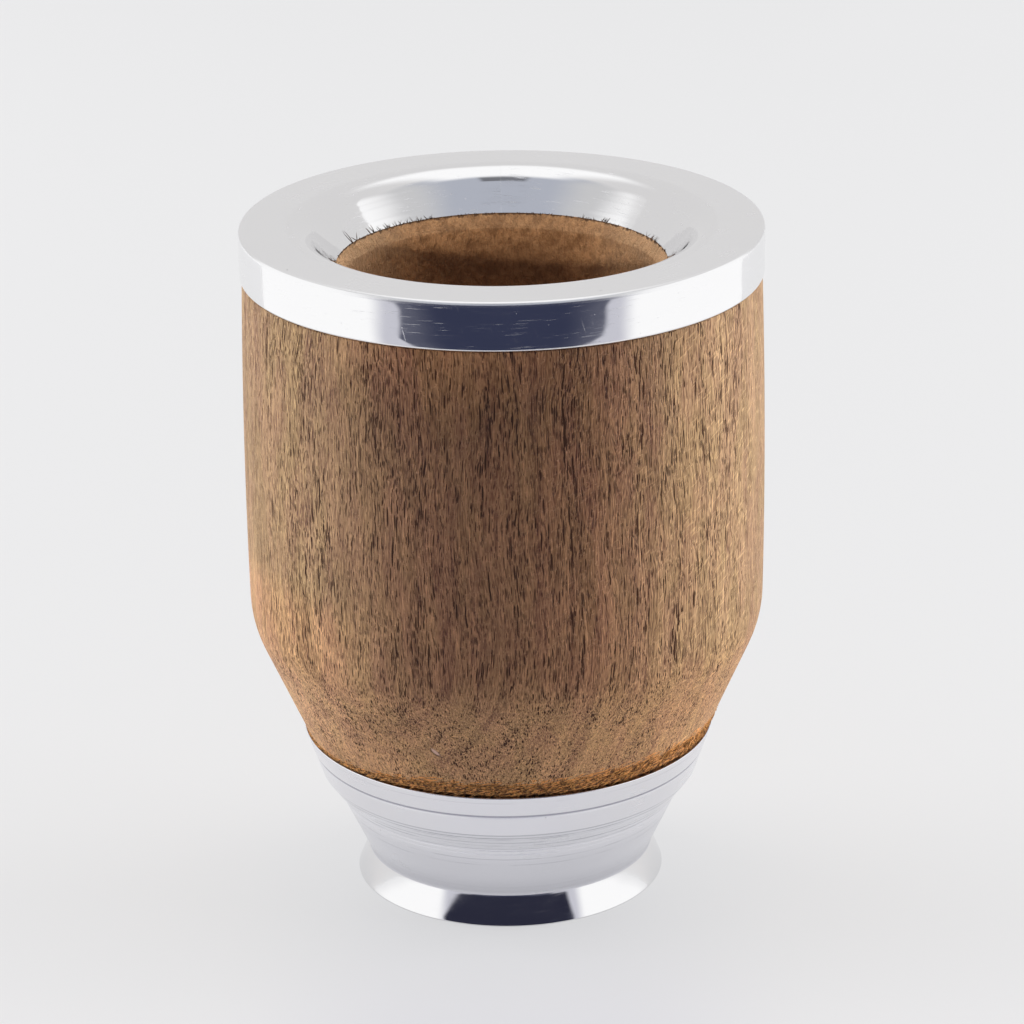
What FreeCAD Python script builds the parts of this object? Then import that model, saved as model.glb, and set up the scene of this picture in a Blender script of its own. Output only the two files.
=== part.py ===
import FreeCAD, Part
import math
import os

# Mate cup: a thick turned wooden body with an aluminium ferrule round its mouth and a
# turned aluminium base with a flared foot. Three pieces, pressed and glued, no joints.
# Lengths are millimetres. +Z is up, Z = 0 is the plane the foot stands on, and the Z axis
# is the axis that all three pieces were turned about.

# Base: outside, from the floor up. foot_radius is where the skirt's line meets the floor.
foot_radius = 24.4
foot_edge_break = 0.35
skirt_height = 4.85
waist_radius = 22.5
lower_cone_height = 9.95
lower_cone_radius = 27.15
step_height = 3.5
step_radius = 29.8
band_height = 7.3
base_lip_radius = 32.3
groove_below_lip = 3.7
groove_width = 0.9
groove_depth = 0.3

# Base: the socket for the body's tenon, and the recess under the foot
socket_radius = 23.0
socket_depth = 15.0
recess_height = 2.5
foot_ring_width = 3.4

# Wooden body: outside
joint_gap = 0.4
base_lip_proud = 0.3
cone_height = 18.2
body_radius = 40.0
body_bow = 0.38
shoulder_round = 18.0
body_height = 55.3
body_draw_in = 0.35

# Wooden body: the cavity
bore_radius = 24.3
mouth_chamfer = 1.0
mouth_chamfer_height = 2.2
cavity_depth = 76.0
cavity_chamfer = 7.0

# Ferrule
rim_proud = 0.35
rim_height = 7.5
rim_edge_break = 0.5
rim_wall = 1.6
rim_plate = 2.2
ledge_width = 9.8
funnel_round = 5.3
funnel_height = 6.2
spigot_wall = 1.6

# Fits between the pieces
glue_film = 0.1
tenon_edge_break = 1.0

# Heights and radii that follow from the sizes above
waist_z = skirt_height
lower_cone_z = waist_z + lower_cone_height
step_z = lower_cone_z + step_height
base_top_z = step_z + band_height
socket_floor_z = base_top_z - socket_depth
wood_low_z = base_top_z + joint_gap
shoulder_z = wood_low_z + cone_height
rim_low_z = shoulder_z + body_height
top_z = rim_low_z + rim_height
throat_z = top_z - funnel_height
cavity_floor_z = top_z - cavity_depth
neck_end_radius = body_radius - body_draw_in
rim_radius = neck_end_radius + rim_proud
throat_radius = bore_radius + mouth_chamfer

# Ferrule: the spigot is thinnest under the ledge, where its wall is spigot_wall
ledge_inner_radius = rim_radius - ledge_width
ledge_under_z = top_z - rim_plate
funnel_slope = (ledge_inner_radius - throat_radius) / funnel_height
spigot_radius = ledge_inner_radius - funnel_slope * rim_plate + spigot_wall


class Corner:
    """A corner of a section: radius, height, the radius of its round or the length that
    its chamfer takes off each side, and how far the side that leaves it bows outwards."""

    def __init__(self, radius, z, round_off=0.0, chamfer=0.0, bow=0.0):
        self.at = FreeCAD.Vector(radius, 0, z)
        self.round_off = round_off
        self.chamfer = chamfer
        self.bow = bow

    def cut(self, side_in, side_out):
        """The edge that rounds or breaks the corner between its two sides, if any."""
        if self.round_off:
            turn = side_in.arrives.getAngle(side_out.leaves)
            reach = self.round_off * math.tan(turn / 2)
            inward = (side_out.leaves - side_in.arrives).normalize()
            middle = self.at + inward * (self.round_off / math.cos(turn / 2) - self.round_off)
        else:
            reach = self.chamfer
        start = self.at - side_in.arrives * reach
        end = self.at + side_out.leaves * reach
        if self.round_off:
            return start, end, Part.Arc(start, middle, end).toShape()
        if self.chamfer:
            return start, end, Part.LineSegment(start, end).toShape()
        return start, end, None


def turned_by(direction, angle):
    """A direction in the XZ plane, turned towards the right of travel."""
    cos, sin = math.cos(angle), math.sin(angle)
    return FreeCAD.Vector(
        direction.x * cos + direction.z * sin, 0, direction.z * cos - direction.x * sin
    )


class Side:
    """One side of a section, straight or bowed, between two corners."""

    def __init__(self, start, end):
        chord = end.at - start.at
        along = FreeCAD.Vector(chord).normalize()
        lean = 2 * math.atan2(2 * start.bow, chord.Length)
        self.bowed = start.bow != 0
        self.middle = (start.at + end.at) * 0.5 + turned_by(along, math.pi / 2) * start.bow
        self.leaves = turned_by(along, lean)
        self.arrives = turned_by(along, -lean)

    def edge(self, start, end):
        if self.bowed:
            return Part.Arc(start, self.middle, end).toShape()
        return Part.LineSegment(start, end).toShape()


def section_face(corners):
    """The closed section through the corners, which run anticlockwise seen along +Y."""
    count = len(corners)
    sides = [Side(corners[i], corners[(i + 1) % count]) for i in range(count)]
    cuts = [corners[i].cut(sides[i - 1], sides[i]) for i in range(count)]
    edges = []
    for i in range(count):
        side_start, corner_edge = cuts[i][1:]
        side_end = cuts[(i + 1) % count][0]
        if corner_edge:
            edges.append(corner_edge)
        edges.append(sides[i].edge(side_start, side_end))
    return Part.Face(Part.Wire(edges))


def turn_on_axis(corners):
    """The solid that a section makes in one turn about the Z axis."""
    return section_face(corners).revolve(FreeCAD.Vector(0, 0, 0), FreeCAD.Vector(0, 0, 1), 360)


def base():
    """Base with a flared foot: a socket above for the tenon, a shallow recess below."""
    recess_radius = foot_radius - foot_ring_width
    groove_z = base_top_z - groove_below_lip
    lean = (base_lip_radius - step_radius) / band_height
    groove_radius = step_radius + lean * (groove_z - step_z)
    groove_rise = lean * groove_width / 2
    return turn_on_axis([
        Corner(recess_radius, 0),
        Corner(foot_radius, 0, chamfer=foot_edge_break),
        Corner(waist_radius, waist_z),
        Corner(lower_cone_radius, lower_cone_z),
        Corner(step_radius, step_z),
        Corner(groove_radius - groove_rise, groove_z - groove_width / 2),
        Corner(groove_radius - groove_depth, groove_z),
        Corner(groove_radius + groove_rise, groove_z + groove_width / 2),
        Corner(base_lip_radius, base_top_z),
        Corner(socket_radius, base_top_z),
        Corner(socket_radius, socket_floor_z),
        Corner(0, socket_floor_z),
        Corner(0, recess_height),
        Corner(recess_radius, recess_height),
    ])


def wooden_body():
    """Body with a tenon below for the base, a neck above for the ferrule, and a deep bore."""
    tenon_radius = socket_radius - glue_film
    neck_radius = rim_radius - rim_wall - glue_film
    neck_inner_radius = spigot_radius + glue_film
    neck_top_z = ledge_under_z - glue_film
    return turn_on_axis([
        Corner(0, socket_floor_z),
        Corner(tenon_radius, socket_floor_z, chamfer=tenon_edge_break),
        Corner(tenon_radius, wood_low_z),
        Corner(base_lip_radius - base_lip_proud, wood_low_z),
        Corner(body_radius, shoulder_z, round_off=shoulder_round, bow=body_bow),
        Corner(neck_end_radius, rim_low_z - glue_film),
        Corner(neck_radius, rim_low_z - glue_film),
        Corner(neck_radius, neck_top_z),
        Corner(neck_inner_radius, neck_top_z),
        Corner(neck_inner_radius, throat_z),
        Corner(throat_radius, throat_z),
        Corner(bore_radius, throat_z - mouth_chamfer_height),
        Corner(bore_radius, cavity_floor_z, chamfer=cavity_chamfer),
        Corner(0, cavity_floor_z),
    ])


def ferrule():
    """Ferrule: an outer band, a flat ledge, and a funnel inside a short spigot."""
    band_inner_radius = rim_radius - rim_wall
    return turn_on_axis([
        Corner(throat_radius, throat_z),
        Corner(spigot_radius, throat_z),
        Corner(spigot_radius, ledge_under_z),
        Corner(band_inner_radius, ledge_under_z),
        Corner(band_inner_radius, rim_low_z),
        Corner(rim_radius, rim_low_z),
        Corner(rim_radius, top_z, chamfer=rim_edge_break),
        Corner(ledge_inner_radius, top_z, round_off=funnel_round),
    ])


pieces = {
    "base": base(),
    "wooden_body": wooden_body(),
    "ferrule": ferrule(),
}

os.makedirs("parts", exist_ok=True)
for name, solid in pieces.items():
    solid.exportStep("parts/" + name + ".step")
    print(name, "valid", solid.isValid(), "volume %.1f mm3" % solid.Volume)
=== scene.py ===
import math
import random

import bmesh
import bpy
from mathutils import Matrix, Vector


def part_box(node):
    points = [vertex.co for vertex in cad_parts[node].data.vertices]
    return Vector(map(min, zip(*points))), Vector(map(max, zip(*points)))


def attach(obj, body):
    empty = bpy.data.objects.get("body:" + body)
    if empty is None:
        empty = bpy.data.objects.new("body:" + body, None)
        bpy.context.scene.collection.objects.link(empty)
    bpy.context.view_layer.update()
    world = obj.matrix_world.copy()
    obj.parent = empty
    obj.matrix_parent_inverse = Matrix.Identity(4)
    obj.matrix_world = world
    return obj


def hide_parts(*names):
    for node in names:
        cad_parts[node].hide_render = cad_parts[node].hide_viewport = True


# A turned wooden mate cup with an aluminium ferrule round its mouth and an aluminium base.
# Lengths are written in millimetres, times MM, and +Z is the axis all pieces were turned about.
MM = 0.001

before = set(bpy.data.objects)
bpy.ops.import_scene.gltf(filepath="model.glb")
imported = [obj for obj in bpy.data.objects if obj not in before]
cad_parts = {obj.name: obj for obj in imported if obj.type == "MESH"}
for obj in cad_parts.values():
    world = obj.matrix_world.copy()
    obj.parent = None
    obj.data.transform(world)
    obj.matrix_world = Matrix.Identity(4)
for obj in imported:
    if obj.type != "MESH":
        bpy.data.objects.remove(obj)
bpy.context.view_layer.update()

# Sizes of the turned pieces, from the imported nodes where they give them
base_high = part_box("base")[1]
wood_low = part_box("wooden_body")[0]
ferrule_low, ferrule_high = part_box("ferrule")

foot_radius = 24.4 * MM
foot_edge_round = 0.2 * MM
skirt_hollow = 0.09 * MM
waist_radius = 22.5 * MM
waist_z = 4.85 * MM
lower_cone_radius = 27.15 * MM
lower_cone_z = 14.8 * MM
step_radius = 29.8 * MM
step_z = 18.3 * MM
base_lip_radius = base_high.x
base_top_z = base_high.z
base_lip_round = 0.13 * MM
foot_inner_round = 0.3 * MM
waist_round = 0.7 * MM
cone_round = 0.3 * MM
groove_z = base_top_z - 3.7 * MM
groove_width = 0.8 * MM
groove_depth = 0.17 * MM
groove_edge_round = 0.1 * MM
groove_bottom_round = 0.2 * MM
step_groove_width = 0.5 * MM
step_groove_depth = 0.12 * MM
step_round = 0.12 * MM
tool_lines = (14.3 * MM, 13.5 * MM)
tool_line_width = 0.26 * MM
tool_line_depth = 0.08 * MM
line_edge_round = 0.05 * MM
socket_radius = 23.0 * MM
socket_floor_z = wood_low.z
recess_height = 2.5 * MM
recess_round = 1.2 * MM
foot_ring_width = 3.4 * MM

glue_film = 0.1 * MM
joint_gap = 0.4 * MM
wood_low_z = base_top_z + joint_gap
wood_foot_radius = base_lip_radius - 0.3 * MM
wood_foot_round = 0.25 * MM
shoulder_z = wood_low_z + 18.2 * MM
body_radius = 40.0 * MM
body_bow = 0.37 * MM
shoulder_round = 18.0 * MM
rim_low_z = ferrule_low.z
neck_end_radius = body_radius - 0.35 * MM
wood_top_round = 0.2 * MM

rim_radius = ferrule_high.x
rim_top_z = ferrule_high.z
rim_wall = 1.6 * MM
rim_plate = 2.2 * MM
rim_edge_round = 0.75 * MM
rim_lower_round = 0.42 * MM
ledge_inner_radius = rim_radius - 9.8 * MM
ledge_under_z = rim_top_z - rim_plate
funnel_round = 5.3 * MM
funnel_hollow = 0.04 * MM
throat_radius = 25.3 * MM
throat_z = rim_top_z - 6.2 * MM
spigot_radius = 30.06 * MM
bore_radius = 24.3 * MM
chamfer_low_z = throat_z - 2.2 * MM
cavity_floor_z = rim_top_z - 76.0 * MM
throat_round = 0.5 * MM
cavity_round = 9.0 * MM
tenon_round = 1.0 * MM


def shade(red, green, blue):
    """A colour given as the photograph's 0 to 255 values, as the light it stands for."""
    def light(value):
        value = value / 255
        return value / 12.92 if value <= 0.04045 else ((value + 0.055) / 1.055) ** 2.4
    return (light(red), light(green), light(blue), 1)


class Field:
    """A value, vector or colour that changes over a surface, usable in plain expressions."""

    def __init__(self, finish, socket):
        self.finish = finish
        self.socket = socket

    def math(self, operation, *operands):
        return self.finish.node("ShaderNodeMath", {"operation": operation}, operands)

    def __add__(self, other):
        return self.math("ADD", self, other)

    def __radd__(self, other):
        return self.math("ADD", other, self)

    def __sub__(self, other):
        return self.math("SUBTRACT", self, other)

    def __rsub__(self, other):
        return self.math("SUBTRACT", other, self)

    def __mul__(self, other):
        return self.math("MULTIPLY", self, other)

    def __rmul__(self, other):
        return self.math("MULTIPLY", other, self)

    def __neg__(self):
        return self.math("MULTIPLY", self, -1)

    def over(self, other):
        return self.math("MAXIMUM", self, other)

    def under(self, other):
        return self.math("MINIMUM", self, other)

    def size(self):
        return self.math("ABSOLUTE", self)

    def root(self):
        return self.math("SQRT", self)

    def rise(self, low, high):
        """0 below low, 1 above high, smooth between. With low above high it falls."""
        settings = {"interpolation_type": "SMOOTHSTEP"}
        return self.finish.node("ShaderNodeMapRange", settings,
                                {"Value": self, "From Min": low, "From Max": high})

    def within(self, low, high, edge):
        """1 between low and high, falling to 0 over edge outside them."""
        return self.rise(low - edge, low) * self.rise(high + edge, high)


class Finish:
    """A material or world under construction, whose nodes are written as expressions."""

    def __init__(self, owner):
        owner.use_nodes = True
        self.tree = owner.node_tree
        self.tree.nodes.clear()

    def node(self, kind, settings, inputs, output=0):
        """Adds a node, sets it up, then fills its sockets with numbers, colours or Fields."""
        made = self.tree.nodes.new(kind)
        for setting, value in settings.items():
            setattr(made, setting, value)
        pairs = inputs.items() if isinstance(inputs, dict) else enumerate(inputs)
        for socket, value in pairs:
            if isinstance(value, Field):
                self.tree.links.new(value.socket, made.inputs[socket])
            else:
                made.inputs[socket].default_value = value
        return Field(self, made.outputs[output]) if made.outputs else None

    def place(self):
        """The point on the surface, in millimetres."""
        point = self.node("ShaderNodeTexCoord", {}, {}, "Object")
        return self.stretch(point, (1 / MM, 1 / MM, 1 / MM))

    def stretch(self, vector, factors):
        return self.node("ShaderNodeVectorMath", {"operation": "MULTIPLY"}, (vector, factors))

    def shift(self, vector, offset):
        return self.node("ShaderNodeVectorMath", {"operation": "ADD"}, (vector, offset))

    def moved(self, point, direction, amount):
        settings = {"operation": "MULTIPLY_ADD"}
        return self.node("ShaderNodeVectorMath", settings, (direction, amount, point))

    def axes(self, vector):
        return [self.node("ShaderNodeSeparateXYZ", {}, (vector,), axis) for axis in range(3)]

    def vector(self, x, y, z):
        return self.node("ShaderNodeCombineXYZ", {}, (x, y, z))

    def noise(self, vector, detail=2.0, output="Factor"):
        """Noise about 0, one grain per unit of the vector."""
        inputs = {"Vector": vector, "Scale": 1.0, "Detail": detail}
        made = self.node("ShaderNodeTexNoise", {}, inputs)
        if output == "Factor":
            return made - 0.5
        colour = Field(self, made.socket.node.outputs["Color"])
        return self.shift(colour, (-0.5, -0.5, -0.5))

    def cells(self, vector):
        """Distance to the nearest of randomly placed points, one per unit, and its random number."""
        near = self.node("ShaderNodeTexVoronoi", {}, {"Vector": vector, "Scale": 1.0}, "Distance")
        chance = Field(self, near.socket.node.outputs["Color"])
        return near, self.axes(chance)[0]

    def mix(self, mask, first, second):
        """First where the mask is 0, second where it is 1, as colours."""
        settings = {"data_type": "RGBA", "clamp_factor": False}
        return self.node("ShaderNodeMix", settings, {0: mask, 6: first, 7: second}, 2)

    def bump(self, height, depth, normal=None):
        """The normal of a surface raised by the height, in millimetres, times depth."""
        inputs = {"Height": height, "Distance": depth * MM}
        if normal:
            inputs["Normal"] = normal
        return self.node("ShaderNodeBump", {}, inputs)

    def surface(self, **sockets):
        names = {name.replace("_", " "): value for name, value in sockets.items()}
        shader = self.node("ShaderNodeBsdfPrincipled", {}, names)
        self.node("ShaderNodeOutputMaterial", {}, {"Surface": shader})


def material(name):
    made = bpy.data.materials.new(name)
    return made, Finish(made)


def placed(name, data):
    """An object in the scene that shows a mesh, lamp or camera."""
    made = bpy.data.objects.new(name, data)
    bpy.context.scene.collection.objects.link(made)
    return made


# Wood

wood_light = shade(212, 169, 131)
wood_dark = shade(112, 76, 52)
wood_pink = shade(166, 112, 86)
wood_olive = shade(162, 125, 76)
pore_colour = shade(60, 28, 11)
torn_light = shade(244, 166, 90)
torn_dark = shade(84, 46, 18)
dent_colour = shade(232, 190, 170)
bored_light = shade(206, 154, 106)
bored_dark = shade(140, 98, 62)
painted_bore_light = shade(232, 190, 146)
painted_bore_shadow = shade(96, 62, 38)
joint_shade_colour = shade(58, 38, 26)
dent_shadow = shade(96, 62, 44)

# Painted light and shade on the wood: its front and back are painted darker and its sides
# lighter and a little yellower, as the lamps stand beside the cup. It is painted darker under
# the band, as the band's shadow. It is warmer towards the foot, and lighter on the left
# shoulder.
painted_front_shade = (0.835, 0.69, 0.575, 1)
painted_side_light = (0.98, 1.035, 0.9, 1)
foot_cast = (1.08, 1.0, 0.76, 1)
painted_band_shadow = (0.62, 0.5, 0.4, 1)
shoulder_cast = (1.3, 1.25, 1.05, 1)

# The log's radial direction, which the cup's right side shows edge on with its flecks
ray_turn = math.radians(55)

# Cut vessels: width and length in millimetres of the cell that each has to itself, and the
# least and most of the cell that it reaches over, where below 0 is none
fine_vessels = (0.2, 1.5, -0.05, 0.42)
middling_vessels = (0.3, 4.2, -0.1, 0.42)
long_vessels = (0.7, 11.0, -0.14, 0.2)


def vessel_marks(finish, point, crowd, cell_width, cell_length, smallest, largest):
    """Cut vessels: short dark marks along the grain, dots where the end grain shows."""
    cell = finish.stretch(point, (1 / cell_width, 1 / cell_width, 1 / cell_length))
    distance, chance = finish.cells(cell)
    reach = (smallest + (largest - smallest) * chance) * crowd
    return (reach - distance).rise(0.0, 0.035)


def wood_grain(finish):
    """Colour, cut vessels and height of the wood, whose grain runs along Z through the solid."""
    point = finish.place()

    # The grain is not quite straight
    sway = finish.noise(finish.stretch(point, (0.11, 0.11, 0.05)), 1.0, "Color")
    curl = finish.noise(finish.stretch(point, (0.7, 0.7, 0.3)), 1.0, "Color")
    swayed = finish.moved(point, sway, (2.4, 2.4, 0))
    grain = finish.moved(swayed, curl, (0.35, 0.35, 0))
    x, y, z = finish.axes(grain)
    radial = x * math.cos(ray_turn) + y * math.sin(ray_turn)
    across = x * math.sin(ray_turn) - y * math.cos(ray_turn)

    # Vessels, which crowd together in columns, and fine splits
    column = finish.noise(finish.stretch(grain, (0.3, 0.3, 0.014)), 2.0)
    crowd = 1.0 + 1.7 * finish.noise(finish.stretch(grain, (0.5, 0.5, 0.07)), 2.0) + 1.2 * column
    fine = vessel_marks(finish, grain, crowd, *fine_vessels)
    middling = vessel_marks(finish, grain, crowd, *middling_vessels)
    long_ones = vessel_marks(finish, grain, crowd, *long_vessels)
    splits = finish.noise(finish.stretch(grain, (4.2, 4.2, 0.5)), 2.0) + 0.3 * column
    splits = splits.rise(0.17, 0.21)
    smooth_side = x.size().rise(33, 39)
    vessels = (fine * 0.85).over(middling).over(long_ones).over(splits) * (1 - 0.5 * smooth_side)

    # Fibres, the rays' flecks, growth rings and broad bands
    fibre = finish.noise(finish.stretch(grain, (7.5, 7.5, 0.6)), 1.0)
    strand = finish.noise(finish.stretch(grain, (3.6, 3.6, 0.12)), 2.0)
    flecks = finish.noise(finish.vector(radial * 0.3, across * 2.2, (z - 0.45 * radial) * 2.2), 2.0)
    flecks = flecks.rise(0.06, 0.2)
    band = finish.noise(finish.vector(radial * 0.35, across * 0.08, z * 0.03), 2.0)
    rings = finish.noise(finish.vector(radial * 1.7, across * 0.07, z * 0.02), 2.0)
    blotch = finish.noise(finish.stretch(point, (0.28, 0.28, 0.08)), 2.0)
    tone = (2.6 * fibre + 1.8 * strand + 1.2 * rings) * (1 - 0.45 * smooth_side)
    tone = 0.53 + tone + 0.6 * band + (0.3 + 0.3 * x.rise(22, 30)) * flecks - 0.16 * smooth_side
    colour = finish.mix(tone, wood_dark, wood_light)
    tint = finish.mix(blotch.rise(-0.15, 0.15), wood_pink, wood_olive)
    colour = finish.mix(0.28, colour, tint)

    # Painted light and shade round the cup, and how the colour changes down it
    cast = finish.mix(x.size().rise(10, 33), painted_front_shade, painted_side_light)
    cast = finish.mix(z.rise(50, 38), cast, foot_cast)
    # Painted shadow of the band, on the wood just under it at the front and back
    band_shadow_mask = z.rise(80, 97) * x.size().rise(28, 12)
    cast = finish.mix(0.5 * band_shadow_mask, cast, painted_band_shadow)
    cast = finish.mix(z.within(36, 52, 8) * x.rise(-18, -28), cast, shoulder_cast)
    colour = finish.node("ShaderNodeVectorMath", {"operation": "MULTIPLY"}, (colour, cast))
    height = 0.6 * fibre + 0.6 * strand + 0.4 * flecks - 1.3 * vessels
    return point, colour, vessels, height


# The torn low edge, in millimetres: its foot, its height, how much higher it is on the
# right, and the radius that its pattern is measured round
torn_low = 26.0
torn_reach = 2.6
torn_right = 0.9
torn_radius = 32.0

# A small dent low on the front: where it is, and its half width, half depth and half height
dent_place = (-11.1, -33.8, 34.2)
dent_size = (0.85, 1.8, 0.6)
dent_slant = 0.75
dent_shadow_offset = (0.3, 0, -0.3)


def torn_depth(x):
    """How high the tool tore the low edge: least at the cup's left."""
    return torn_reach * x.rise(-29, -10) + torn_right * x.rise(8, 24)


def dent_mask(finish, point, place):
    """1 inside a small slanted nick, 0 outside it."""
    x, y, z = finish.axes(finish.shift(point, [-value for value in place]))
    nick = finish.stretch(finish.vector(x, y, z + dent_slant * x), [1 / value for value in dent_size])
    distance = finish.node("ShaderNodeVectorMath", {"operation": "LENGTH"}, (nick,), "Value")
    return distance.rise(1.0, 0.5)


def bare_wood():
    """Turned and sanded wood, whose low edge the tool tore and left orange-brown."""
    made, finish = material("turned_wood")
    point, colour, vessels, height = wood_grain(finish)
    x, y, z = finish.axes(point)
    along = x.math("ARCTAN2", x, -y) * torn_radius
    tear = finish.noise(finish.vector(along * 0.75 + z * 0.3, z * 3.2 - along * 0.8, 0.0), 3.0)
    ragged = finish.noise(finish.stretch(point, (0.35, 0.35, 0.6)), 3.0)
    edge = torn_low + torn_depth(x) + 3.2 * ragged + 5.5 * tear
    torn = (edge - z).rise(0.0, 0.4)
    torn_tone = finish.mix((0.55 + 5.5 * tear).rise(0.0, 1.0), torn_dark, torn_light)
    colour = finish.mix(torn * 0.9, colour, torn_tone)
    colour = finish.mix(vessels * (0.97 - 0.4 * torn), colour, pore_colour)
    dent = dent_mask(finish, point, dent_place)
    shadow_place = [value + step for value, step in zip(dent_place, dent_shadow_offset)]
    beside_dent = dent_mask(finish, point, shadow_place)
    colour = finish.mix(beside_dent * 0.7, colour, dent_shadow)
    colour = finish.mix(dent * 0.75, colour, dent_colour)
    finish.surface(
        Base_Color=colour,
        Roughness=0.5 + 0.2 * torn + 0.4 * vessels,
        Normal=finish.bump(height + 5.0 * torn * tear - 3.0 * dent, 0.16),
    )
    return made


def bored_wood():
    """Inside the mouth and on the hidden seats, cut and left rough and fibrous."""
    made, finish = material("bored_wood")
    point, _, vessels, height = wood_grain(finish)
    rough = finish.noise(finish.stretch(point, (1.3, 1.3, 0.8)), 5.0)
    fuzz = finish.noise(finish.stretch(point, (5.0, 5.0, 3.0)), 2.0)
    patches = finish.noise(finish.stretch(point, (0.3, 0.3, 0.5)), 2.0)
    tone = (0.5 + 1.4 * rough + 0.8 * fuzz + 1.6 * patches).rise(0.0, 1.0)
    colour = finish.mix(tone, bored_dark, bored_light)
    colour = finish.mix(vessels * 0.22, colour, pore_colour)
    x, y, z = finish.axes(point)
    # Painted shade in the joint with the ferrule: a dark ragged ring round the top of the throat
    joint_shade = finish.noise(finish.stretch(point, (1.1, 1.1, 1.4)), 3.0)
    joint_shade = (z - throat_z / MM + 0.32 + 1.6 * joint_shade).rise(0.0, 0.25)
    # Painted light: the chamfer at the top of the bore is painted lighter, where the light falls in
    cut = z.rise(chamfer_low_z / MM - 0.8, chamfer_low_z / MM + 0.4)
    colour = finish.mix(0.14 * cut, colour, painted_bore_light)
    # Painted shadow of the rim, low in the middle of the bore's far wall
    rim_shadow_mask = x.size().rise(19, 5) * z.rise(99.5, 93) * y.rise(0, 10)
    colour = finish.mix(0.72 * rim_shadow_mask, colour, painted_bore_shadow)
    # Painted light on the sides of the bore
    colour = finish.mix(0.5 * x.size().rise(12, 22), colour, painted_bore_light)
    colour = finish.mix(0.75 * joint_shade, colour, joint_shade_colour)
    finish.surface(
        Base_Color=colour,
        Roughness=0.85,
        Normal=finish.bump(0.25 * height + 3.4 * rough + 1.2 * fuzz, 0.16),
    )
    return made


# Aluminium

aluminium_colour = (0.88, 0.878, 0.885, 1)
base_satin_colour = (0.885, 0.885, 0.92, 1)
line_and_shade_colour = shade(150, 150, 164)
pit_colour = shade(120, 120, 128)

# Height and half width in millimetres of each tool line on the base, its strength, and the
# least part of it that shows where it is rubbed away
base_lines = (
    (24.6, 0.13, 0.16, 0.0), (21.95, 0.3, 0.75, 1.0), (18.15, 0.2, 0.5, 1.0), (17.45, 0.13, 0.7, 0.0),
    (17.1, 0.13, 0.5, 0.0), (16.3, 0.13, 0.4, 0.0), (15.6, 0.13, 0.6, 0.0), (14.7, 0.13, 0.4, 0.2),
    (12.4, 0.13, 0.3, 0.0), (11.2, 0.13, 0.2, 0.0),
)

# The radius in millimetres that marks on the metal are measured round
band_radius = 40.0


def round_axis(finish, point):
    """Distance from the axis, distance along the band from the front, and height, in
    millimetres."""
    x, y, z = finish.axes(point)
    radius = (x * x + y * y).root()
    return radius, x.math("ARCTAN2", x, -y) * band_radius, z


def handled_front(finish, point):
    """1 on the front of the cup, where hands scratched the band most."""
    x, y, _ = finish.axes(point)
    return x.size().rise(21, 14) * y.rise(0, -10)


def polished_aluminium():
    """Buffed: hairline scratches that mostly run round, specks and soft patches of haze."""
    made, finish = material("polished_aluminium")
    point = finish.place()
    radius, along, z = round_axis(finish, point)
    patches = finish.noise(finish.vector(along * 0.12, z * 0.5, radius * 0.2), 3.0)
    hairlines = finish.noise(finish.vector(along * 0.2, (z - 0.04 * along) * 6.0, radius * 6.0), 2.0)
    crossing = finish.noise(finish.vector((along + 0.3 * z) * 4.0, z * 0.22, radius * 0.3), 1.0)
    above = z.rise(20, 60)
    scratches = hairlines.rise(0.1, 0.2) * patches.rise(-0.1, 0.1) + 0.7 * crossing.rise(0.2, 0.3)
    scratches = scratches * (0.2 + 0.8 * above)
    handled = handled_front(finish, point) * scratches
    speck_distance, speck_chance = finish.cells(finish.stretch(point, (0.9, 0.9, 0.9)))
    specks = (0.16 * speck_chance - 0.08 - speck_distance).rise(-0.01, 0.02) * (0.15 + 0.85 * above)
    ripple = finish.noise(finish.vector(along * 0.07, z * 0.12, radius * 0.2), 1.0)
    finish.surface(
        Base_Color=aluminium_colour,
        Metallic=1.0 - 0.16 * handled - 0.1 * specks,
        Roughness=(0.07 + 0.2 * patches + 0.3 * scratches + 0.4 * specks).over(0.03),
        Normal=finish.bump(ripple * 0.06 - specks * 0.02, 1.0),
    )
    return made


def satin_aluminium(name, colour, turned_marks, lines=()):
    """Turned and rubbed down: fine rings round the axis, soft mottling, a few pits, and
    single tool lines, as in base_lines."""
    made, finish = material(name)
    point = finish.place()
    radius, along, z = round_axis(finish, point)
    rings = finish.noise(finish.vector((radius + z) * 1.6, along * 0.006, 0.0), 2.0)
    fine_rings = finish.noise(finish.vector((radius + z) * 4.5, along * 0.01, 0.0), 1.0)
    mottle = finish.noise(finish.stretch(point, (0.12, 0.12, 0.2)), 3.0)
    pit_distance, pit_chance = finish.cells(finish.stretch(point, (0.35, 0.35, 0.35)))
    pits = (0.09 * pit_chance - 0.05 - pit_distance).rise(-0.02, 0.01)
    if lines:
        patchy = finish.noise(finish.vector(along * 0.09, z * 1.5, 0.0), 2.0).rise(-0.14, 0.05)
        # Painted shade, darker towards the waist in two steps; the tool lines add to it below
        lines_and_shade = 0.12 * z.rise(14, 11) + 0.15 * z.rise(9, 5)
        for height, half_width, strength, least in lines:
            line = (z - height).size().rise(half_width, 0.25 * half_width)
            lines_and_shade = line * patchy.over(least) * strength + lines_and_shade
        colour = finish.mix(lines_and_shade, colour, line_and_shade_colour)
    finish.surface(
        Base_Color=finish.mix(0.7 * pits, colour, pit_colour),
        Metallic=1.0,
        Roughness=0.25 + 0.12 * mottle + 0.06 * fine_rings,
        Normal=finish.bump((rings * 0.03 + fine_rings * 0.002) * turned_marks - pits * 0.02, 1.0),
    )
    return made


# Turned shapes

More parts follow.
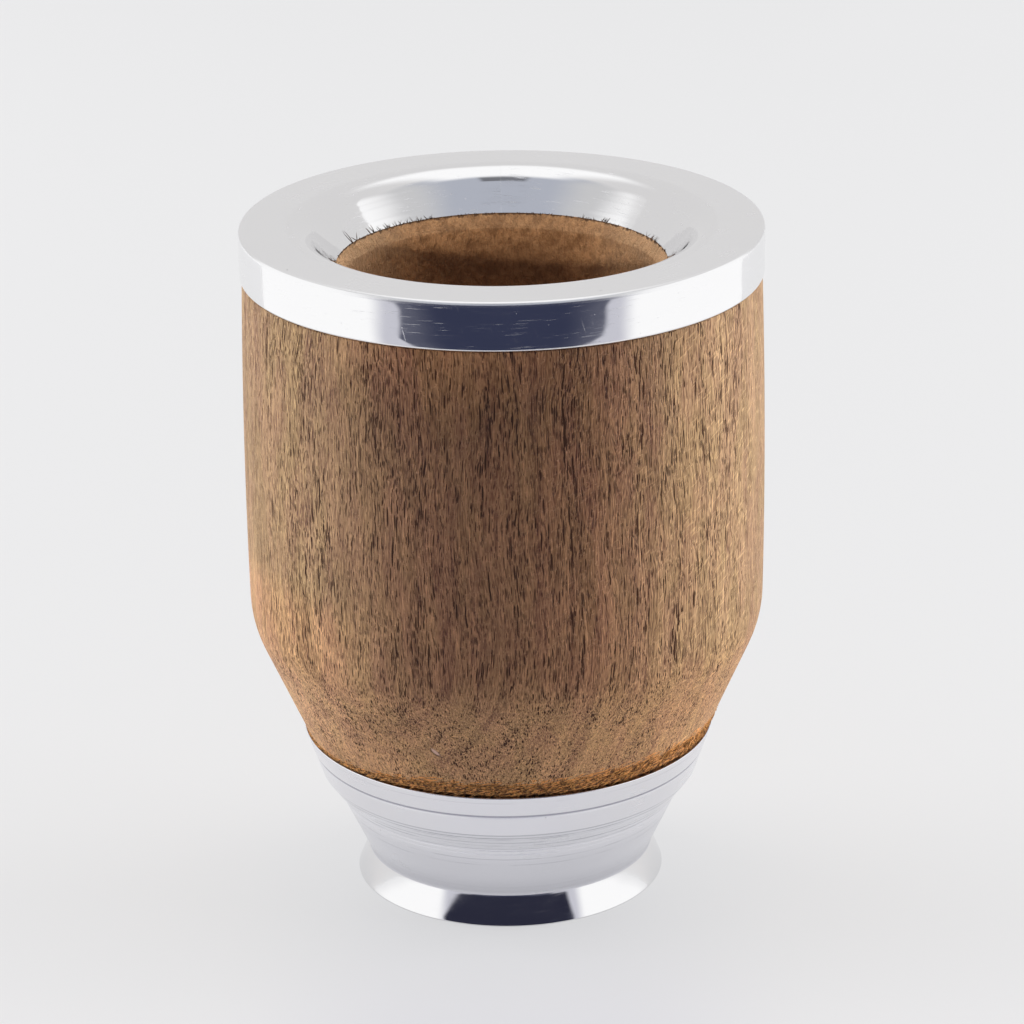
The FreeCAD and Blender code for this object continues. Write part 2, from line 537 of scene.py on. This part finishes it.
# Steps in one turn, the widest step of a round and the fewest steps in one, the angle at
# which an edge is sharp, and the radius under which a point is on the axis
around = 384
arc_step = math.radians(5)
fewest_round_steps = 3
sharp_angle = math.radians(14)
on_axis = 1e-7


class Corner:
    """A corner of a section: radius, height, its round, how far the side that leaves it
    bows outwards, and the finish and number of steps of that side."""

    def __init__(self, radius, z, round_off=0.0, bow=0.0, finish=0, steps=1):
        self.at = Vector((radius, z))
        self.round_off = round_off
        self.bow = bow
        self.finish = finish
        self.steps = steps


def arc_points(start, middle, end, least):
    """Points on the arc through three points, start and end included."""
    (ax, ay), (bx, by), (cx, cy) = start, middle, end
    d = 2 * (ax * (by - cy) + bx * (cy - ay) + cx * (ay - by))
    a2, b2, c2 = ax * ax + ay * ay, bx * bx + by * by, cx * cx + cy * cy
    centre = Vector((
        (a2 * (by - cy) + b2 * (cy - ay) + c2 * (ay - by)) / d,
        (a2 * (cx - bx) + b2 * (ax - cx) + c2 * (bx - ax)) / d,
    ))
    radius = (start - centre).length
    first = math.atan2(start.y - centre.y, start.x - centre.x)
    sweep = math.atan2(end.y - centre.y, end.x - centre.x) - first
    sweep = math.remainder(sweep, math.tau)
    count = max(least, math.ceil(abs(sweep) / arc_step))
    turns = [first + sweep * i / count for i in range(count + 1)]
    return [centre + radius * Vector((math.cos(turn), math.sin(turn))) for turn in turns]


def turned_by(direction, angle):
    cos, sin = math.cos(angle), math.sin(angle)
    return Vector((direction.x * cos + direction.y * sin, direction.y * cos - direction.x * sin))


def outline(corners):
    """The points of a closed section and the finish of the stretch that leaves each."""
    count = len(corners)
    leaves, arrives, middles = [], [], []
    for i, corner in enumerate(corners):
        chord = corners[(i + 1) % count].at - corner.at
        lean = 2 * math.atan2(2 * corner.bow, chord.length)
        along = chord.normalized()
        leaves.append(turned_by(along, lean))
        arrives.append(turned_by(along, -lean))
        middles.append((corner.at + corners[(i + 1) % count].at) / 2
                       + turned_by(along, math.pi / 2) * corner.bow)
    rounds = []
    for i, corner in enumerate(corners):
        if not corner.round_off:
            rounds.append([corner.at])
            continue
        turn = arrives[i - 1].angle(leaves[i])
        reach = corner.round_off * math.tan(turn / 2)
        inward = (leaves[i] - arrives[i - 1]).normalized()
        middle = corner.at + inward * (corner.round_off / math.cos(turn / 2) - corner.round_off)
        start = corner.at - arrives[i - 1] * reach
        end = corner.at + leaves[i] * reach
        rounds.append(arc_points(start, middle, end, fewest_round_steps))
    points = []
    for i, corner in enumerate(corners):
        points += [(point, corner.finish) for point in rounds[i][:-1]]
        start, end = rounds[i][-1], rounds[(i + 1) % count][0]
        if corner.bow:
            side = arc_points(start, middles[i], end, corner.steps)
        else:
            side = [start.lerp(end, step / corner.steps) for step in range(corner.steps + 1)]
        points += [(point, corner.finish) for point in side[:-1]]
    return points


def turned(name, corners, finishes):
    """A closed mesh: the section through the corners, turned once about the Z axis."""
    mesh = bpy.data.meshes.new(name)
    for finish in finishes:
        mesh.materials.append(finish)
    shape = bmesh.new()
    rings = []
    for point, finish in outline(corners):
        if point.x < on_axis:
            rings.append(([shape.verts.new((0, 0, point.y))], finish))
            continue
        ring = []
        for i in range(around):
            turn = math.tau * i / around
            x, y = point.x * math.cos(turn), point.x * math.sin(turn)
            ring.append(shape.verts.new((x, y, point.y)))
        rings.append((ring, finish))
    for i, (ring, finish) in enumerate(rings):
        following = rings[(i + 1) % len(rings)][0]
        if len(ring) == 1 and len(following) == 1:
            continue
        for j in range(around):
            k = (j + 1) % around
            corner_verts = [ring[j % len(ring)], ring[k % len(ring)],
                            following[k % len(following)], following[j % len(following)]]
            face = shape.faces.new(list(dict.fromkeys(corner_verts)))
            face.material_index = finish
            face.smooth = True
    shape.normal_update()
    for edge in shape.edges:
        edge.smooth = edge.calc_face_angle(0) < sharp_angle
    shape.to_mesh(mesh)
    shape.free()
    return placed(name, mesh)


def stands_for(piece, node):
    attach(piece, "root")
    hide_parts(node)


polished = polished_aluminium()
ledge_satin = satin_aluminium("rubbed_aluminium", aluminium_colour, 0.22)
base_satin = satin_aluminium("turned_aluminium", base_satin_colour, 1.0, base_lines)
POLISHED, SATIN = 0, 1


def make_base():
    recess_radius = foot_radius - foot_ring_width
    lean = (base_lip_radius - step_radius) / (base_top_z - step_z)
    groove_radius = step_radius + lean * (groove_z - step_z)
    half_groove = groove_width / 2
    groove_rise = lean * groove_width / 2
    cone_lean = (lower_cone_radius - waist_radius) / (lower_cone_z - waist_z)
    step_lean = (step_radius - lower_cone_radius) / (step_z - lower_cone_z)
    step_line_radius = step_radius - step_lean * step_groove_width
    step_line_z = step_z - step_groove_width * 0.3
    lines = []
    for z in reversed(tool_lines):
        radius = waist_radius + cone_lean * (z - waist_z)
        half = tool_line_width / 2
        lines += [
            Corner(radius - cone_lean * half, z - half, line_edge_round, finish=SATIN),
            Corner(radius - tool_line_depth, z, tool_line_depth, finish=SATIN),
            Corner(radius + cone_lean * half, z + half, line_edge_round, finish=SATIN, steps=3),
        ]
    return turned("turned_base", [
        Corner(recess_radius, 0, foot_inner_round, finish=SATIN),
        Corner(foot_radius, 0, foot_edge_round, -skirt_hollow, POLISHED, 12),
        Corner(waist_radius, waist_z, waist_round, 0, SATIN, 8),
        *lines,
        Corner(lower_cone_radius, lower_cone_z, cone_round, 0, SATIN, 4),
        Corner(step_line_radius, step_z - step_groove_width, line_edge_round, finish=SATIN),
        Corner(step_radius - step_groove_depth, step_line_z, step_round, finish=SATIN),
        Corner(step_radius, step_z, step_round, 0, SATIN, 4),
        Corner(groove_radius - groove_rise, groove_z - half_groove, groove_edge_round, finish=SATIN),
        Corner(groove_radius - groove_depth, groove_z, groove_bottom_round, finish=SATIN),
        Corner(groove_radius + groove_rise, groove_z + half_groove, groove_edge_round, 0, SATIN, 4),
        Corner(base_lip_radius, base_top_z, base_lip_round, finish=SATIN),
        Corner(socket_radius, base_top_z, finish=SATIN),
        Corner(socket_radius, socket_floor_z, finish=SATIN),
        Corner(0, socket_floor_z, finish=SATIN),
        Corner(0, recess_height, finish=SATIN, steps=8),
        Corner(recess_radius, recess_height, recess_round, finish=SATIN),
    ], [polished, base_satin])


def make_wood():
    neck_radius = rim_radius - rim_wall - glue_film
    neck_inner_radius = spigot_radius + glue_film
    neck_top_z = ledge_under_z - glue_film
    tenon_radius = socket_radius - glue_film
    OUTSIDE, BORED = 0, 1
    return turned("turned_wood", [
        Corner(0, socket_floor_z, finish=BORED),
        Corner(tenon_radius, socket_floor_z, tenon_round, finish=BORED),
        Corner(tenon_radius, wood_low_z, finish=OUTSIDE, steps=4),
        Corner(wood_foot_radius, wood_low_z, wood_foot_round, finish=OUTSIDE, steps=14),
        Corner(body_radius, shoulder_z, shoulder_round, body_bow, OUTSIDE, 30),
        Corner(neck_end_radius, rim_low_z - glue_film, wood_top_round, finish=OUTSIDE),
        Corner(neck_radius, rim_low_z - glue_film, finish=BORED),
        Corner(neck_radius, neck_top_z, finish=BORED),
        Corner(neck_inner_radius, neck_top_z, finish=BORED),
        Corner(neck_inner_radius, throat_z, finish=BORED),
        Corner(throat_radius, throat_z, finish=BORED, steps=3),
        Corner(bore_radius, chamfer_low_z, throat_round, finish=BORED, steps=24),
        Corner(bore_radius, cavity_floor_z, cavity_round, finish=BORED, steps=8),
        Corner(0, cavity_floor_z, finish=BORED),
    ], [bare_wood(), bored_wood()])


def make_ferrule():
    band_inner_radius = rim_radius - rim_wall
    return turned("turned_ferrule", [
        Corner(throat_radius, throat_z, finish=SATIN),
        Corner(spigot_radius, throat_z, finish=SATIN),
        Corner(spigot_radius, ledge_under_z, finish=SATIN),
        Corner(band_inner_radius, ledge_under_z, finish=SATIN),
        Corner(band_inner_radius, rim_low_z, finish=SATIN),
        Corner(rim_radius, rim_low_z, rim_lower_round, 0, POLISHED, 6),
        Corner(rim_radius, rim_top_z, rim_edge_round, 0, SATIN, 4),
        Corner(ledge_inner_radius, rim_top_z, funnel_round, -funnel_hollow, POLISHED, 16),
    ], [polished, ledge_satin])


turned_base = make_base()
stands_for(turned_base, "base")
turned_wood = make_wood()
stands_for(turned_wood, "wooden_body")
turned_ferrule = make_ferrule()
stands_for(turned_ferrule, "ferrule")


# Wood fibres that the tools left standing, at the mouth and along the torn low edge

fibre_sides = 4
fibre_joints = 4


def add_fibre(shape, root, way, droop, length, width):
    """One tapered fibre: it leaves its root along way and curves towards droop."""
    across = way.cross(Vector((0.3, 0.2, 1))).normalized()
    other = way.cross(across).normalized()
    rings = []
    for joint in range(fibre_joints):
        t = joint / fibre_joints
        middle = root + way * (length * t) + droop * (length * t * t)
        half = width / 2 * (1 - t) ** 0.6
        ring = []
        for side in range(fibre_sides):
            turn = math.tau * side / fibre_sides
            out = across * math.cos(turn) + other * math.sin(turn)
            ring.append(shape.verts.new(middle + half * out))
        rings.append(ring)
    tip = shape.verts.new(root + (way + droop) * length)
    shape.faces.new(rings[0][::-1])
    for low, high in zip(rings, rings[1:]):
        for side in range(fibre_sides):
            after = (side + 1) % fibre_sides
            shape.faces.new((low[side], low[after], high[after], high[side]))
    for side in range(fibre_sides):
        shape.faces.new((rings[-1][side], rings[-1][(side + 1) % fibre_sides], tip))


def fibres_piece(name, shape, made_of):
    bmesh.ops.recalc_face_normals(shape, faces=shape.faces)
    for face in shape.faces:
        face.smooth = True
    mesh = bpy.data.meshes.new(name)
    mesh.materials.append(made_of)
    shape.to_mesh(mesh)
    shape.free()
    made = placed(name, mesh)
    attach(made, "root")


def fibre_wood(name, dark, light):
    """Torn fibres: lighter and darker from one to the next and along each."""
    made, finish = material(name)
    point = finish.place()
    patches = finish.noise(finish.stretch(point, (2.2, 2.2, 1.6)), 2.0)
    colour = finish.mix((0.5 + 2.4 * patches).rise(0.0, 1.0), dark, light)
    finish.surface(Base_Color=colour, Roughness=0.75)
    return made


# Places along X of the tufts at the mouth's far edge, and of the longest fibres with their
# length and how far they lean aside, in millimetres
mouth_tufts = (-19.0, -17.6, -15.4, -13.2, -11.0, 13.4, 15.9, 22.9)
long_fibres = ((-23.0, 2.3, -0.5), (-22.4, 1.4, 0.3), (-20.3, 2.2, -1.0), (-19.8, 1.5, -0.3))

# How many fibres are in a tuft, all round the mouth, and all round the low edge
tuft_count = 7
mouth_count = 420
low_edge_count = 1900

# Where the mouth's fibres stand and where they are rooted, in millimetres from the axis
mouth_fibre_radius = 25.25
mouth_root_radius = 25.22
farthest_aside = 25.0

dark_fibre_colours = (shade(44, 30, 22), shade(104, 72, 48))
torn_fibre_colours = (shade(58, 30, 12), shade(224, 162, 92))


def make_mouth_fibres():
    chance = random.Random(7)
    shape = bmesh.new()
    root_z = throat_z - 0.12 * MM

    def grow(x, away, length, lean, width):
        y = math.sqrt(mouth_fibre_radius ** 2 - x * x) * away
        out = Vector((x, y, 0)).normalized()
        side = Vector((lean, 0, 0))
        way = (Vector((0, 0, 1)) + 0.25 * out + 0.4 * side).normalized()
        root = out * mouth_root_radius * MM + Vector((0, 0, root_z))
        add_fibre(shape, root, way, 0.4 * side + 0.1 * out, length * MM, width * MM)

    for x, length, lean in long_fibres:
        grow(x, 1, length, lean, 0.16)
    for place in mouth_tufts:
        for _ in range(tuft_count):
            x = max(-farthest_aside, min(farthest_aside, place + chance.gauss(0, 0.5)))
            length = chance.uniform(0.3, 1.0)
            lean = chance.uniform(-0.9, 0.7)
            grow(x, 1, length, lean, chance.uniform(0.07, 0.12))
    for _ in range(mouth_count):
        turn = chance.uniform(0, math.tau)
        away = 1 if math.sin(turn) > 0 else -1
        x = farthest_aside * math.cos(turn)
        grow(x, away, chance.uniform(0.1, 0.35), chance.uniform(-1, 1), 0.12)
    fibres_piece("mouth_fibres", shape, fibre_wood("dark_fibres", *dark_fibre_colours))


def part_way(value, low, span):
    """How far the value is from low to low + span, between 0 and 1."""
    return min(1.0, max(0.0, (value - low) / span))


def make_torn_fibres():
    """Short slanted fibres that stand off the torn low edge, some over the dark joint."""
    chance = random.Random(11)
    shape = bmesh.new()
    flare = (body_radius - wood_foot_radius) / (shoulder_z - wood_low_z)
    fibre_overhang = 0.3 * MM
    fibre_sunk = 0.02 * MM
    for _ in range(low_edge_count):
        turn = chance.uniform(0, math.tau)
        out = Vector((math.cos(turn), math.sin(turn), 0))
        along = Vector((-out.y, out.x, 0))
        x = out.x * wood_foot_radius / MM
        reach = 0.15 + 2.0 * part_way(x, -27, 17) + 0.7 * part_way(x, 8, 16)
        rise = chance.uniform(0.05, max(0.1, reach)) * MM
        down_face = Vector((-out.x * flare, -out.y * flare, -1)).normalized()
        slant = math.radians(chance.gauss(18, 14))
        way = -along * math.cos(slant) + down_face * math.sin(slant)
        length = chance.uniform(0.6, 1.7) * MM
        drop = length * max(0.0, -way.z)
        if rise - drop < -fibre_overhang:
            length = (rise + fibre_overhang) / max(0.05, -way.z)
        root_radius = wood_foot_radius + flare * rise - fibre_sunk
        root = out * root_radius + Vector((0, 0, wood_low_z + rise))
        add_fibre(shape, root, way, 0.22 * out, length, chance.uniform(0.15, 0.28) * MM)
    fibres_piece("torn_fibres", shape, fibre_wood("torn_fibre_wood", *torn_fibre_colours))


make_mouth_fibres()
make_torn_fibres()


# Stage: pale floor, soft light from above and both sides, and cards that reflections see

def sheet_of(name, corners, made_of):
    mesh = bpy.data.meshes.new(name)
    mesh.from_pydata([Vector(corner) * MM for corner in corners], [], [tuple(range(len(corners)))])
    mesh.materials.append(made_of)
    made = placed(name, mesh)
    return made


# Millimetres from the axis to each card, and the cards' sizes
card_distance = 150
card_height = 180
side_card_distance = 200
side_card_back = 112
side_card_height = 320
foot_card_distance = 80
foot_card_width = 220
foot_card_low = 13
foot_card_high = 30
dark_half_width = 129.0
card_glow = 1.08
navy = shade(52, 56, 78)
foot_navy = shade(44, 45, 61)
card_grey = shade(200, 200, 209)
card_white = shade(255, 255, 255)
card_shade = (0.02, 0.02, 0.02, 1)
floor_colour = shade(237, 237, 238)
floor_painted_front_shade = shade(231, 230, 238)
floor_corner = shade(247, 246, 248)
floor_painted_contact_shadow = shade(220, 219, 227)
floor_shade = (0.8, 0.8, 0.8)


def only_mirrored(card, shades_wood):
    """Neither the camera nor shadows see the card."""
    card.visible_camera = False
    card.visible_shadow = False
    card.visible_diffuse = shades_wood


def make_card(name, corners, shades_wood):
    """A card round the cup: dark in front of it and white beside it, seen by reflections.
    Its foot lets plain light through, so that it shades no line on the floor."""
    made, finish = material(name)
    x, y, z = finish.axes(finish.place())
    beside = x.size() - dark_half_width + 45.0 * z.rise(50, 44) - 16.0 * z.rise(53, 64)
    colour = finish.mix(beside.rise(-9, 9).over(0.12 * beside.rise(-85, -10)), navy, card_grey)
    white = y.rise(-card_distance + 4, -card_distance + 38)
    colour = finish.mix(white, colour, card_white)
    diffuse = finish.node("ShaderNodeLightPath", {}, {}, "Is Diffuse Ray")
    colour = finish.mix(z.rise(14, 0) * white, colour, floor_colour)
    colour = finish.mix(diffuse, colour, card_shade)
    glow = finish.node("ShaderNodeEmission", {}, {"Color": colour, "Strength": card_glow})

    # The side cards fade out above, and the left one at its back too
    solid = z.rise(side_card_height, side_card_height - 70)
    solid = solid * z.rise(210, 175).over(y.rise(-130, -70))
    solid = solid * (1 - 0.8 * x.rise(0, -1) * z.rise(215, 240) * y.rise(60, side_card_back - 10))
    solid = solid * (1 - diffuse * z.rise(45, 5))
    open_air = finish.node("ShaderNodeBsdfTransparent", {}, {})
    glow = finish.node("ShaderNodeMixShader", {}, (solid, open_air, glow))
    finish.node("ShaderNodeOutputMaterial", {}, {"Surface": glow})
    only_mirrored(sheet_of(name, corners, made), shades_wood)


def make_foot_card():
    """A small dark card close to the foot, which only the skirt mirrors."""
    made, finish = material("foot_card")
    x, _, z = finish.axes(finish.place())
    from_left = x + 60.0 + 1.75 * (z - 16.0)
    from_right = 64.5 + 0.5 * (z - 16.0) - x
    glow = finish.node("ShaderNodeEmission", {}, {"Color": foot_navy})
    open_air = finish.node("ShaderNodeBsdfTransparent", {}, {})
    dark = from_left.under(from_right).rise(-5, 5)
    glow = finish.node("ShaderNodeMixShader", {}, (dark, open_air, glow))
    finish.node("ShaderNodeOutputMaterial", {}, {"Surface": glow})
    wide, near = foot_card_width / 2, foot_card_distance
    low, high = foot_card_low, foot_card_high
    corners = [(-wide, -near, low), (wide, -near, low), (wide, -near, high), (-wide, -near, high)]
    only_mirrored(sheet_of("foot_card", corners, made), False)


def upright(x1, y1, x2, y2, height):
    return [(x1, y1, 0), (x2, y2, 0), (x2, y2, height), (x1, y1, height)]


def make_cards():
    near, far, back = card_distance, side_card_distance, side_card_back
    make_card("front_card", upright(-near, -near, near, -near, card_height), True)
    make_card("left_card", upright(-near, -near, -far, back, side_card_height), False)
    make_card("right_card", upright(near, -near, far, back, side_card_height), False)
    make_foot_card()


floor_reach = 3000


def make_floor():
    made, finish = material("pale_floor")
    x, y, _ = finish.axes(finish.place())
    # Painted shade on the floor in front of the cup: darker and bluer in the middle and lighter at
    # the front corners, with a painted contact shadow just before the foot
    before = finish.mix(x.size().rise(48, 14), floor_corner, floor_painted_front_shade)
    painted_contact_shadow = x.size().rise(26, 8) * y.rise(-37, -27)
    before = finish.mix(painted_contact_shadow, before, floor_painted_contact_shadow)
    colour = finish.mix(y.rise(0, -120), floor_colour, before)
    grey = finish.node("ShaderNodeVectorMath", {"operation": "MULTIPLY"}, (colour, floor_shade))
    diffuse = finish.node("ShaderNodeBsdfDiffuse", {}, {"Color": grey})
    even = finish.node("ShaderNodeEmission", {}, {"Color": colour})
    bounced = finish.node("ShaderNodeLightPath", {}, {}, "Is Diffuse Ray")
    glossy = finish.node("ShaderNodeLightPath", {}, {}, "Is Glossy Ray")
    share = 0.66 - 0.2 * bounced - 0.12 * glossy
    lit = finish.node("ShaderNodeMixShader", {}, (share, diffuse, even))
    finish.node("ShaderNodeOutputMaterial", {}, {"Surface": lit})
    r = floor_reach
    sheet_of("floor", [(-r, -r, 0), (r, -r, 0), (r, r, 0), (-r, r, 0)], made)


def make_world():
    """Studio round the cup: light from above and behind, dim in front, a soft box overhead."""
    world = bpy.data.worlds.new("studio")
    bpy.context.scene.world = world
    finish = Finish(world)
    x, y, z = finish.axes(finish.node("ShaderNodeTexCoord", {}, {}, "Generated"))
    lean = y.math("ARCTAN2", y, z)
    soft_box = lean.within(math.radians(-4), math.radians(32), math.radians(14))
    soft_box = soft_box * x.size().rise(0.5, 0.25)
    before = y.rise(0.15, -0.05)
    beside = x.size().rise(0.35, 0.65)
    reflected = finish.mix(beside, shade(182, 186, 197), shade(208, 208, 209))
    reflected = finish.mix(before, shade(223, 222, 222), reflected)
    dark_lens = lean.within(math.radians(-25.5), math.radians(-12), math.radians(1.5))
    dark_lens = dark_lens * x.within(-0.16, 0.12, 0.05)
    reflected = finish.mix(dark_lens, reflected, shade(120, 121, 127))
    reflected = finish.mix(y.rise(-0.5, -0.7) * z.rise(0.6, 0.4), reflected, navy)
    reflected = finish.mix(soft_box, reflected, (1.08, 1.08, 1.08, 1))
    level = z.rise(0.6, 0.95) + y.rise(-0.1, 0.4)
    lit = finish.mix(level, (0, 0, 0, 1), (1, 1, 1, 1))
    glossy = finish.node("ShaderNodeLightPath", {}, {}, "Is Glossy Ray")
    camera = finish.node("ShaderNodeLightPath", {}, {}, "Is Camera Ray")
    seen = finish.mix(glossy, lit, reflected)
    seen = finish.mix(camera, seen, floor_colour)
    glow = finish.node("ShaderNodeBackground", {}, {"Color": seen})
    finish.node("ShaderNodeOutputWorld", {}, {"Surface": glow})


side_lamp_width = 800
side_lamp_height = 340
side_lamp_aim = (0, 0, 55)
mouth_lamp_radius = 9


def place_lamp(light, place, toward, watts):
    """Puts up a lamp that lights plain surfaces, and that nothing mirrors."""
    light.energy = watts
    made = placed(light.name, light)
    made.location = Vector(place) * MM
    made.rotation_euler = toward.to_track_quat("-Z", "Y").to_euler()
    made.visible_glossy = False
    made.visible_camera = False


def make_side_lamp(name, place, watts):
    light = bpy.data.lights.new(name, "AREA")
    light.shape = "RECTANGLE"
    light.size = side_lamp_width * MM
    light.size_y = side_lamp_height * MM
    place_lamp(light, place, Vector(side_lamp_aim) - Vector(place), watts)


def make_mouth_lamp(name, place, aim, spread, watts):
    """A narrow lamp in front, whose beam enters the mouth and lights the wood inside."""
    light = bpy.data.lights.new(name, "SPOT")
    toward = Vector(aim) - Vector(place)
    light.spot_size = 2 * math.atan2(spread, toward.length)
    light.spot_blend = 0.3
    light.shadow_soft_size = mouth_lamp_radius * MM
    place_lamp(light, place, toward, watts)


make_floor()
make_cards()
make_world()
make_side_lamp("left_lamp", (-850, 290, 150), 9.8)
make_side_lamp("right_lamp", (880, 150, 150), 10.4)
make_mouth_lamp("high_mouth_lamp", (0, -330, 560), (0, 0, 100), 34, 0.9)
make_mouth_lamp("low_mouth_lamp", (-150, -585, 247), (3, 24, 103), 25, 6.2)


# Camera, at the photograph's place

focal_pixels = 4207.3
picture_pixels = 1024
sensor = 36.0
camera_place = Vector((0, -612.61, 292.59)) * MM
pitch = math.radians(20.805)
yaw = math.radians(0.094)
roll = math.radians(-0.789)


def make_camera():
    level = math.cos(pitch)
    forward = Vector((math.sin(yaw) * level, math.cos(yaw) * level, -math.sin(pitch)))
    flat_right = forward.cross(Vector((0, 0, 1))).normalized()
    flat_up = flat_right.cross(forward)
    right = math.cos(roll) * flat_right + math.sin(roll) * flat_up
    up = math.cos(roll) * flat_up - math.sin(roll) * flat_right
    lens = bpy.data.cameras.new("camera")
    lens.sensor_width = sensor
    lens.lens = focal_pixels / picture_pixels * sensor
    lens.clip_start = 10 * MM
    made = placed("camera", lens)
    axes = Matrix((right, up, -forward)).transposed().to_4x4()
    made.matrix_world = Matrix.Translation(camera_place) @ axes
    bpy.context.scene.camera = made


make_camera()
bpy.context.scene.view_settings.view_transform = "Standard"
